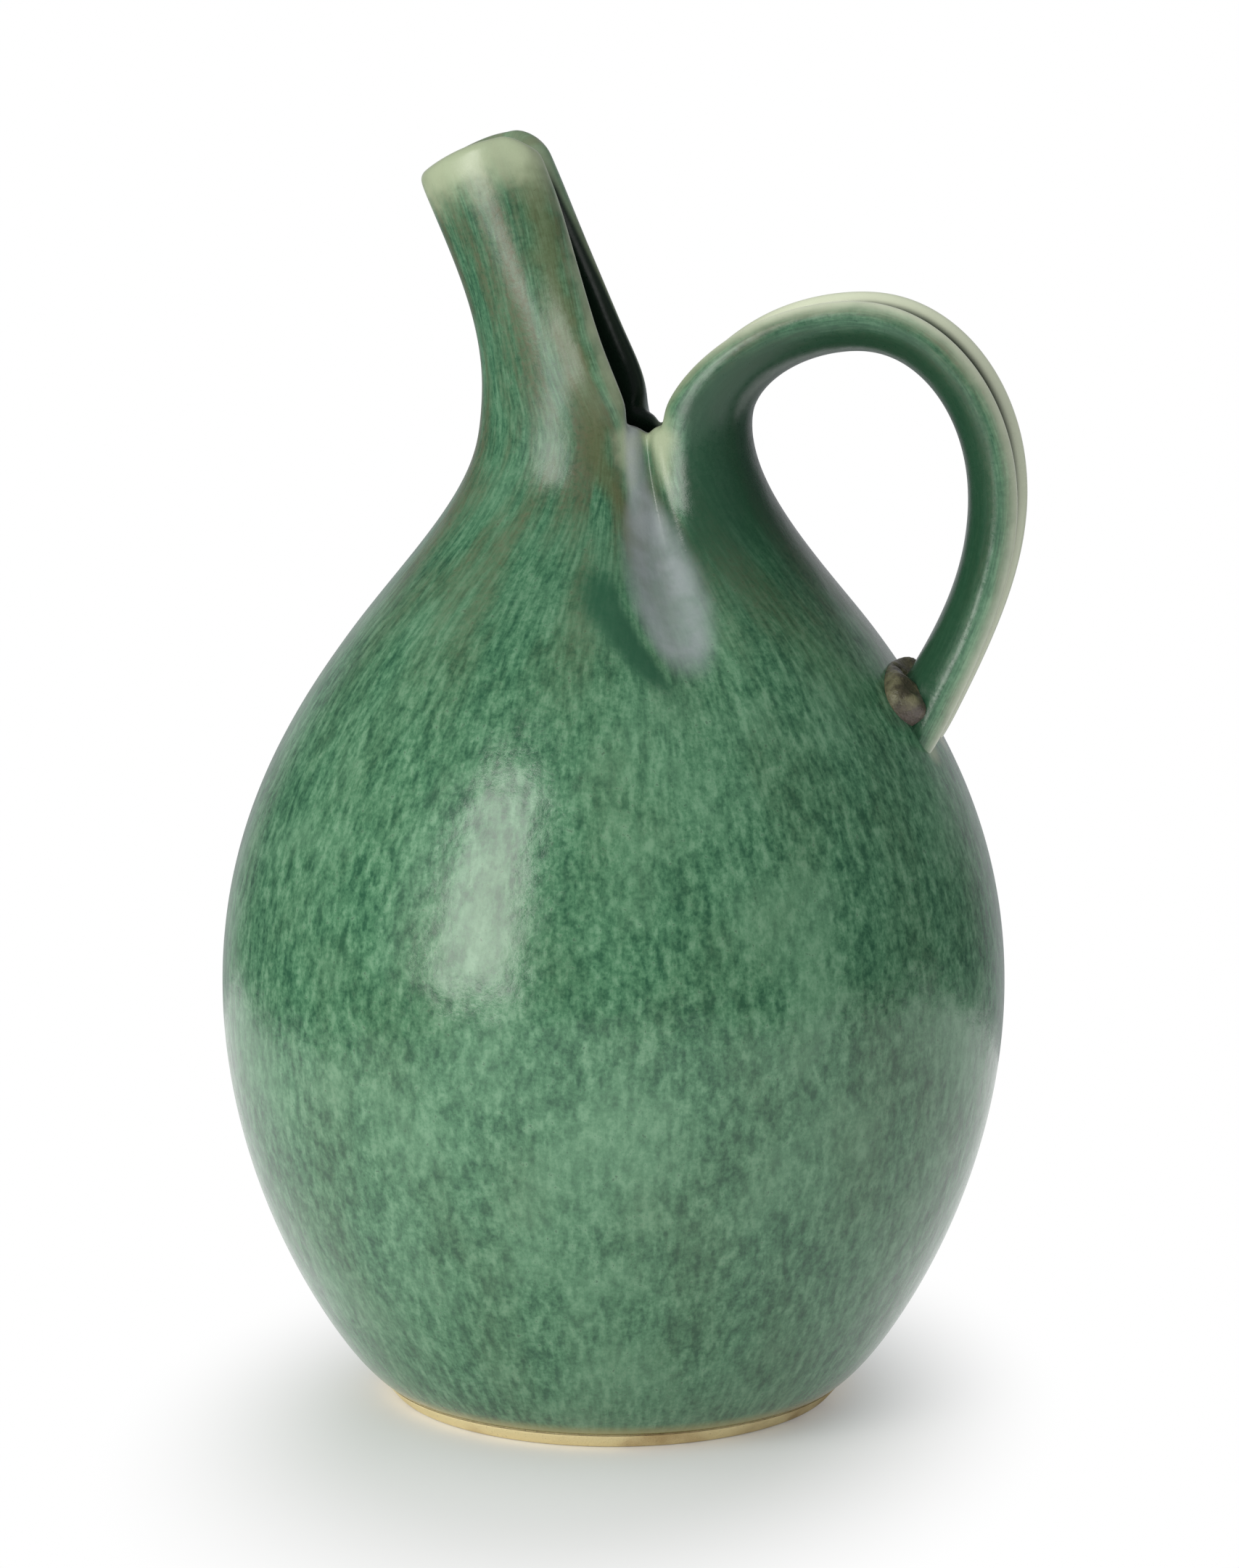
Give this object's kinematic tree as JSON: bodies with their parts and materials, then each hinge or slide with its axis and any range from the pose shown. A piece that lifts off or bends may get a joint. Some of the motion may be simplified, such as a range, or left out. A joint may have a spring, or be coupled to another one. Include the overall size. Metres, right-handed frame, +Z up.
{
  "type": "stoneware pitcher",
  "caption": "Gourd-shaped green-glazed stoneware pitcher with a pinched neck that divides into a slit spout and a looped gutter-section strap handle.",
  "frame": {"origin": "centre of the foot ring, on the surface the pitcher stands on", "axes": "+Z up along the axis the body was thrown on, +X towards the handle, -X towards the spout, -Y towards the side that the picture shows"},
  "size_m": [0.1575, 0.1542, 0.2498],
  "materials": {
    "green_glaze": "mottled green glaze, semi-gloss",
    "brown_glaze": "thin olive-brown glaze, semi-gloss",
    "bare_clay": "unglazed, matt"
  },
  "bodies": {
    "root": {"foot_ring": "bare_clay", "belly": "green_glaze", "neck": "green_glaze", "spout": "green_glaze", "handle": "green_glaze", "handle_wad": "brown_glaze"}
  },
  "joints": []
}
